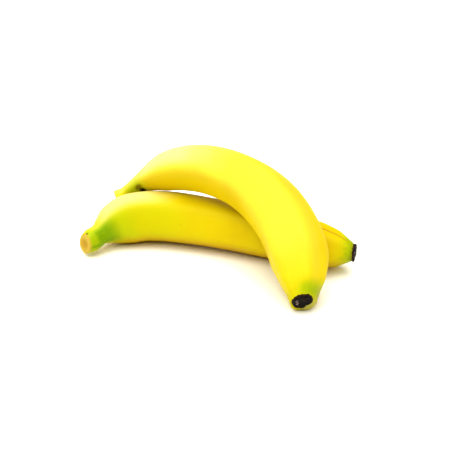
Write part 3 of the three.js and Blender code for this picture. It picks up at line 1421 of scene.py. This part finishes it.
@dataclass
class Banana:
    """One banana: peel, cut stem with its fibres, and dried blossom with its scales.

    Lengths are in millimetres. The tip's dome is a share of its half thickness, and reaches are
    shares of what they go over. CUT_LIP closes the peel behind the cut face. FACE_BACK, FACE_RIM
    and FACE_EDGE are rings of the cut face from inside the stem outwards. CRUST_ROOT is the crust
    under the skin: for each ring, the shares of the crust's reach and of its root's depth.
    """

    shape: BananaShape
    peel: PeelFinish
    cut: CutStemFinish
    dried: DriedTipFinish
    cap: DriedCap
    peel_rows: int = 430
    peel_sides: int = 150
    face_sides: int = 72
    face_rows: int = 16
    face_hollow: float = 0.45
    tip_rows: int = 20
    tip_dome: float = 0.11
    end_crowding: float = 0.7
    swell: float = 0.45
    body_wrinkle: float = 0.05
    neck_wrinkle: float = 0.35
    nose_wrinkle: float = 0.5
    fibre_rings: int = 6
    fibre_sides: int = 24
    fibre_reach: float = 0.86
    fibre_root: float = 0.25
    scale_reach: float = 0.9
    scale_wobble: float = 0.3
    scale_wobble_rate: float = 5
    scale_clearance: float = 2.2
    ground_clearance: float = 0.05

    CUT_LIP = (Station(0, 0, 0.4), Station(0, 0.5, 0.3), Station(0, 0.88, -0.1), Station(0, 0.97, -0.25))
    FACE_BACK = (Station(0.006, 0), Station(0.006, 0.5), Station(0.006, 0.9))
    FACE_RIM = (Station(0, 0.93), Station(0, 0.93, -0.35), Station(0, 0.9, -0.6))
    FACE_EDGE = Station(0, 0.9, -0.62)
    CRUST_ROOT = ((0.0, 1.0), (0.5, 1.0), (0.93, 1.0), (0.97, 0.4))

    def __post_init__(self) -> None:
        """Works out the curves along the banana."""
        self.line = MiddleLine(self.shape)
        self.half = Curve(self.shape.half)
        self.title = self.shape.node.removeprefix("banana_")

    def build(self, trees: Trees) -> list[bpy.types.Object]:
        """Builds and dresses the banana's pieces.

        Args:
            trees: The geometry trees.

        Returns:
            The pieces.
        """
        cut, dried = self.cut.material(), self.dried.material()
        skin = self.peel.material(self.shape)
        peel = self._swept(trees, "peel", self._peel_stations(), skin, self.peel_sides)
        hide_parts(self.shape.node)
        pieces = [
            (peel, Slot.PEEL),
            (self._swept(trees, "cut_face", self._face_stations(), cut, self.face_sides), Slot.CUT_STEM),
            (self._fibres(trees, cut), Slot.CUT_STEM),
            (self._crust(dried), Slot.DRIED_TIP),
        ]
        if self.cap.scales:
            pieces.append((self._scales(trees, dried), Slot.DRIED_TIP))
        for piece, slot in pieces:
            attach(piece, "root")
            LOG.info("%s: %d faces, %s", piece.name, len(piece.data.polygons), slot.value)
        return [piece for piece, _ in pieces]

    def _swept(
        self,
        trees: Trees,
        kind: str,
        stations: Sequence[Station],
        material: bpy.types.Material,
        sides: int,
    ) -> bpy.types.Object:
        """Sweeps the banana's section along stations.

        Args:
            trees: The geometry trees.
            kind: What the piece is, which starts its name.
            stations: The rings, from one closed end to the other.
            material: The piece's material.
            sides: How many sides the rings have.

        Returns:
            The piece.
        """
        name = f"{kind}_{self.title}"
        numbers = {f"Face {i + 1}": math.radians(face) for i, face in enumerate(self.shape.faces)}
        numbers |= {"Sides": sides, "Seed": self.peel.seed}
        return trees.sweep.run(name, self._station_mesh(name, stations), material, numbers)

    def _station_mesh(self, name: str, stations: Sequence[Station]) -> bpy.types.Mesh:
        """Makes the points that the sweep reads, one for each station."""
        places = [self.line.at(station.share, station.out) for station in stations]
        twist = math.radians(self.shape.twist)
        rules = {
            "half": lambda s: self.half(s.share) * s.scale * MILLIMETRE,
            "strength": lambda s: RIDGE_STRENGTH(s.share),
            "turn": lambda s: twist * (s.share - Place.BELLY.value),
            "oblique": lambda s: self.shape.oblique(s.share)[0],
            "towards": lambda s: self.shape.oblique(s.share)[1],
            "along": lambda s: s.share * self.shape.length * MILLIMETRE,
            "share": lambda s: s.share + self._past_tip(s),
            "swell": lambda s: self.swell * self._body(s.share) * s.scale * MILLIMETRE,
            "wrinkle": lambda s: self._wrinkle(s.share) * s.scale * MILLIMETRE,
        }
        attributes = {key: [rule(station) for station in stations] for key, rule in rules.items()}
        for i, key in enumerate(("onward", "left", "up")):
            attributes[key] = [axes.col[i].copy() for _, axes in places]
        return make_mesh(name, [point for point, _ in places], attributes=attributes)

    def _past_tip(self, station: Station) -> float:
        """How far a ring has gone over the blunt tip towards its middle, as a share of the length."""
        if station.share < Place.TIP.value:
            return 0.0
        return (1 - station.scale) * self.half(Place.TIP.value) / self.shape.length

    def _body(self, share: float) -> float:
        """How much of the full swell the skin has, which fades out at both ends."""
        return min(1.0, share / Place.SHOULDER.value, (1 - share) / (1 - Place.WAIST.value))

    def _wrinkle(self, share: float) -> float:
        """How deep the lengthwise wrinkles are: deep at the neck and at the nose."""
        neck = max(0.0, 1 - share / Place.SHOULDER.value)
        nose = max(0.0, 1 - (1 - share) / (1 - Place.NOSE.value))
        return self.body_wrinkle + self.neck_wrinkle * neck**1.5 + self.nose_wrinkle * nose

    def _dome(self, share: float) -> float:
        """How far the blunt tip's skin bulges onward at a share of its reach."""
        return self.tip_dome * self.half(Place.TIP.value) * max(0.0, 1 - share**4)

    def _peel_stations(self) -> list[Station]:
        """The peel's rings, crowded towards the ends and closed at both."""
        rings = list(self.CUT_LIP)
        for i in range(self.peel_rows):
            u = i / (self.peel_rows - 1)
            rings.append(Station(u - self.end_crowding * math.sin(TURN * u) / TURN))
        for i in range(self.tip_rows):
            u = 1 - (i + 1) / self.tip_rows
            rings.append(Station(1, u, self._dome(u)))
        return rings

    def _face_stations(self) -> list[Station]:
        """The rings of the cut face, from its middle inside the stem to its middle outside."""
        rings = [*self.FACE_BACK, *self.FACE_RIM]
        for i in range(self.face_rows):
            inward = (i + 1) / self.face_rows
            out = self.FACE_EDGE.out + self.face_hollow * inward**0.7
            rings.append(Station(0, self.FACE_EDGE.scale * (1 - inward), out))
        return rings

    def _end(self, share: float) -> EndFrame:
        """Where one end of the banana is."""
        return EndFrame(*self.line.at(share), *self.shape.oblique(share))

    def _crust(self, material: bpy.types.Material) -> bpy.types.Object:
        """Sets the dried crust into the tip.

        Args:
            material: The dried blossom's material.

        Returns:
            The crust, as one closed piece.
        """
        cap, end = self.cap, self._end(1.0)
        profile = [*self.CRUST_ROOT, *((1 - i / cap.rings, 0.0) for i in range(cap.rings + 1))]
        points, rim, scar_glint = [], [], []
        for share, depth in profile:
            for side in range(cap.sides):
                angle = TURN * side / cap.sides
                away, bearing = cap.spot(share, angle)
                point = end.point(away, bearing, 0.0)
                out = self._dome(away / self.half(1.0)) + cap.height_at(share, angle, point)
                point += end.axes.col[0] * (-depth * cap.root if depth else out)
                point.z = max(point.z, self.ground_clearance)
                points.append(point)
                rim.append(share)
                # Paleness, partly dried scar and partly painted glint.
                scar_glint.append(cap.scar_and_glint(share, angle))
        name = f"dried_crust_{self.title}"
        faces = ring_faces(len(profile), cap.sides)
        mesh = make_mesh(name, points, faces, {"rim": rim, "scar_glint": scar_glint})
        shell = bmesh.new()
        shell.from_mesh(mesh)
        bmesh.ops.remove_doubles(shell, verts=shell.verts, dist=SEAM)
        bmesh.ops.recalc_face_normals(shell, faces=shell.faces)
        shell.to_mesh(mesh)
        shell.free()
        mesh.shade_smooth()
        mesh.materials.append(material)
        return add_object(name, mesh)

    def _fibres(self, trees: Trees, material: bpy.types.Material) -> bpy.types.Object:
        """Sets broken fibres on the cut face.

        Args:
            trees: The geometry trees.
            material: The cut stem's material.

        Returns:
            The fibres, as one piece.
        """
        name, end = f"stem_fibres_{self.title}", self._end(0.0)
        points = []
        for ring in range(self.fibre_rings + 1):
            reach = self.half(0.0) * self.fibre_reach * ring / self.fibre_rings
            for side in range(self.fibre_sides):
                points.append(end.point(reach, TURN * side / self.fibre_sides, self.fibre_root))
        mesh = make_mesh(name, points, ring_faces(self.fibre_rings + 1, self.fibre_sides))
        return trees.tuft.run(name, mesh, material, trees.tuft.SIZES)

    def _scales(self, trees: Trees, material: bpy.types.Material) -> bpy.types.Object:
        """Sets dried scales round the rim of the crust, where they are clear of the ground.

        Args:
            trees: The geometry trees.
            material: The dried blossom's material.

        Returns:
            The scales, as one piece.
        """
        name = f"dried_scales_{self.title}"
        cap, end = self.cap, self._end(1.0)
        out = cap.height / 2 + self._dome(self.scale_reach)
        points, onward, outward = [], [], []
        for i in range(cap.scales):
            wobble = self.scale_wobble * math.sin(self.scale_wobble_rate * i)
            angle = TURN * (i + wobble) / cap.scales
            point = end.point(*cap.spot(self.scale_reach, angle), out)
            if point.z > self.scale_clearance:
                points.append(point)
                onward.append((end.axes.col[0] + end.offset(angle) * cap.flare).normalized())
                outward.append(end.offset(angle))
        mesh = make_mesh(name, points, attributes={"onward": onward, "outward": outward})
        return trees.scales.run(name, mesh, material, trees.scales.SIZES)


# ---------------------------------------------------------------------------------------------
# Studio
# ---------------------------------------------------------------------------------------------


@dataclass(frozen=True)
class Lamp:
    """A broad soft lamp far above the bananas, given by the direction that its light comes from."""

    name: str
    towards: Triple
    spread: float
    strength: float

    def build(self) -> None:
        """Makes the lamp."""
        data = bpy.data.lights.new(self.name, "SUN")
        data.angle = math.radians(self.spread)
        data.energy = self.strength
        lamp = add_object(self.name, data)
        lamp.rotation_euler = Vector(self.towards).to_track_quat("Z", "Y").to_euler()


@dataclass(frozen=True)
class Studio:
    """A white table under soft light, with the camera.

    The camera stands in front, camera_height degrees above the table, and looks at target. The
    table's top lies table_drop below the bananas, so that the two never share a plane.
    """

    camera_height: float = 24.7
    camera_distance: float = 600
    target: Triple = (7.1, 19.5, 20)
    focal_pixels: float = 891.5
    picture_pixels: float = 452
    film_width: float = 36
    nearest: float = 10
    table_half_width: float = 30_000
    table_drop: float = 0.05
    table_colour: Colour = (0.93, 0.93, 0.93)
    table_roughness: float = 0.6
    sky_strength: float = 0.28
    sky_colour: Colour = (1.0, 0.78, 0.35)
    look: str = "Medium High Contrast"
    lamps: tuple[Lamp, ...] = (
        Lamp("overhead", (-0.12, -0.18, 1.0), 90, 4.6),
        Lamp("behind", (-0.5, 1.0, 0.35), 60, 1.0),
    )

    def build(self) -> None:
        """Makes the table, the sky, the lights and the camera."""
        self._table()
        self._sky()
        for lamp in self.lamps:
            lamp.build()
        self._camera()
        bpy.context.scene.view_settings.view_transform = "Standard"
        bpy.context.scene.view_settings.look = self.look

    def _table(self) -> None:
        """Makes the white table top."""
        corners = [Vector((x, y, 0)) for x, y in ((-1, -1), (1, -1), (1, 1), (-1, 1))]
        drop = Vector((0, 0, self.table_drop))
        points = [corner * self.table_half_width - drop for corner in corners]
        mesh = make_mesh("table", points, [(0, 1, 2, 3)])
        tree = MaterialTree("table_top", self.table_colour)
        mesh.materials.append(tree.close({"Roughness": self.table_roughness}))
        add_object("table", mesh)

    def _sky(self) -> None:
        """Makes the even, faintly warm surroundings."""
        world = bpy.data.worlds.new("white_room")
        world.use_nodes = True
        tree = Tree(world.node_tree)
        values = {"Color": self.sky_colour, "Strength": self.sky_strength}
        glow = tree.made("ShaderNodeBackground", values=values)
        tree.node("ShaderNodeOutputWorld", values={"Surface": glow})
        bpy.context.scene.world = world

    def _camera(self) -> None:
        """Makes the camera."""
        height = math.radians(self.camera_height)
        back = Vector((0, -math.cos(height), math.sin(height)))
        data = bpy.data.cameras.new("camera")
        data.sensor_width = self.film_width
        data.lens = self.focal_pixels / self.picture_pixels * self.film_width
        data.clip_start = self.nearest * MILLIMETRE
        camera = add_object("camera", data)
        camera.location = (Vector(self.target) + back * self.camera_distance) * MILLIMETRE
        camera.rotation_euler = (-back).to_track_quat("-Z", "Y").to_euler()
        bpy.context.scene.camera = camera


# ---------------------------------------------------------------------------------------------
# The pair
# ---------------------------------------------------------------------------------------------

LOWER_PEEL = PeelFinish(
    name="peel_lower",
    seed=0.31,
    nose_green=0.75,
    crust_start=0.999,
    ripe=(0.59, 0.48, 0.003),
    deep=(0.55, 0.42, 0.002),
    tints=(
        # Painted shade, partly a greener tone, over the lower banana's front.
        Tint(LEMON_SHADE, 0.85, start=0.0, end=0.42, edge=0.15, angle=165, spread=60, soft=25),
        # Painted highlight on the lower banana's top.
        Tint(CREAM_HIGHLIGHT, 0.5, start=0.08, end=0.31, edge=0.08, angle=66, spread=34, soft=22),
        Tint(FRESH, 0.75, start=0.0, end=0.19, edge=0.08, angle=165, spread=55, soft=25),
        Tint(FRESH, 0.7, start=-0.02, end=0.085, edge=0.03, angle=115, spread=62, soft=22),
        Tint(GREEN, 0.85, start=-0.02, end=0.105, edge=0.035, angle=160, spread=54, soft=20),
        Tint(FRESH, 0.6, start=-0.02, end=0.03, edge=0.01, angle=0, spread=180, soft=12),
        # Painted shade on the lower banana's underside.
        Tint(ORANGE_SHADE, 0.6, start=0.12, end=0.95, edge=0.06, angle=245, spread=50, soft=16),
        # Painted shade over the front of the lower banana towards its nose.
        Tint(AMBER_SHADE, 0.45, start=0.7, end=0.95, edge=0.04, angle=115, spread=75, soft=20),
    ),
    dark_spots=(
        DarkSpot(0.006, 85, 1.7, 1.0, SOOT, 0.8),
        DarkSpot(0.92, 80, 1.4, 14.0, BRONZE, 0.85, ragged=1.0),
    ),
)

UPPER_PEEL = PeelFinish(
    name="peel_upper",
    seed=1.17,
    nose_green=0.25,
    crust_start=1.03,
    tints=(
        # Painted highlight on the upper banana's neck and top, and faintly over its lit faces.
        Tint(CREAM_HIGHLIGHT, 0.58, start=0.03, end=0.38, edge=0.12, angle=58, spread=30, soft=26),
        Tint(CREAM_HIGHLIGHT, 0.10, start=0.05, end=0.90, edge=0.10, angle=75, spread=55, soft=25),
        # Painted shade on the upper banana's concave side, and faintly along its other side.
        Tint(AMBER_SHADE, 0.5, start=0.09, end=0.62, edge=0.05, angle=158, spread=40, soft=9),
        Tint(AMBER_SHADE, 0.14, start=0.5, end=0.85, edge=0.08, angle=352, spread=42, soft=20),
        Tint(FRESH, 0.6, start=0.025, end=0.12, edge=0.03, angle=135, spread=80, soft=30),
        Tint(GREEN, 0.35, start=0.04, end=0.10, edge=0.02, angle=156, spread=50, soft=25),
        Tint(FRESH, 0.85, start=0.95, end=1.0, edge=0.02, angle=15, spread=62, soft=25),
        Tint(GREEN, 0.35, start=0.965, end=1.0, edge=0.015, angle=10, spread=45, soft=25),
        # Painted shade on the underside of the upper banana's nose.
        Tint(KHAKI_SHADE, 0.85, start=0.965, end=1.2, edge=0.02, angle=285, spread=62, soft=26),
    ),
    dark_spots=(
        # Painted contact shadow, partly a bruise, where the neck meets the lower banana, then a bruise
        # smudge.
        DarkSpot(0.095, 168, 3.2, 1.2, SOOT, 0.97),
        DarkSpot(0.089, 138, 3.1, 1.4, UMBER, 0.8, ragged=1.1),
        DarkSpot(0.32, 92, 0.8, 1.0, BRONZE, 0.6),
    ),
)

LOWER_CAP = DriedCap(
    long_radius=5.9,
    short_radius=5.5,
    long_towards=90,
    height=0.3,
    root=1.4,
    least=0.1,
    seed=3,
    scales=16,
    flare=0.35,
)

UPPER_CAP = DriedCap(
    long_radius=6.6,
    short_radius=5.7,
    long_towards=168,
    height=1.2,
    root=1.4,
    least=0.3,
    seed=8,
    shift=2.4,
    shift_towards=75,
    notch=0.3,
    notch_towards=282,
    # Pale patches on the crust, partly dried scar and partly painted glint.
    scars_and_glints=(ScarAndGlint(-2.5, 2.9, 1.2, 0.9), ScarAndGlint(-3.1, 0.9, 1.1, 1.0), ScarAndGlint(4.2, 1.4, 1.2, 0.4)),
)


def main() -> None:
    """Builds the table, the lights, the camera and the pair."""
    logging.basicConfig(level=logging.INFO, format="%(message)s")
    Studio().build()
    trees = Trees(Sweep(), FibreTuft(), ScaleRing())
    cut, dried = CutStemFinish(), DriedTipFinish()
    bananas = [
        Banana(LOWER, LOWER_PEEL, cut, dried, LOWER_CAP),
        Banana(UPPER, UPPER_PEEL, cut, dried, UPPER_CAP),
    ]
    for banana in bananas:
        pieces = banana.build(trees)
        LOG.info("%s: %d pieces", banana.shape.node, len(pieces))


if __name__ == "__main__":
    main()
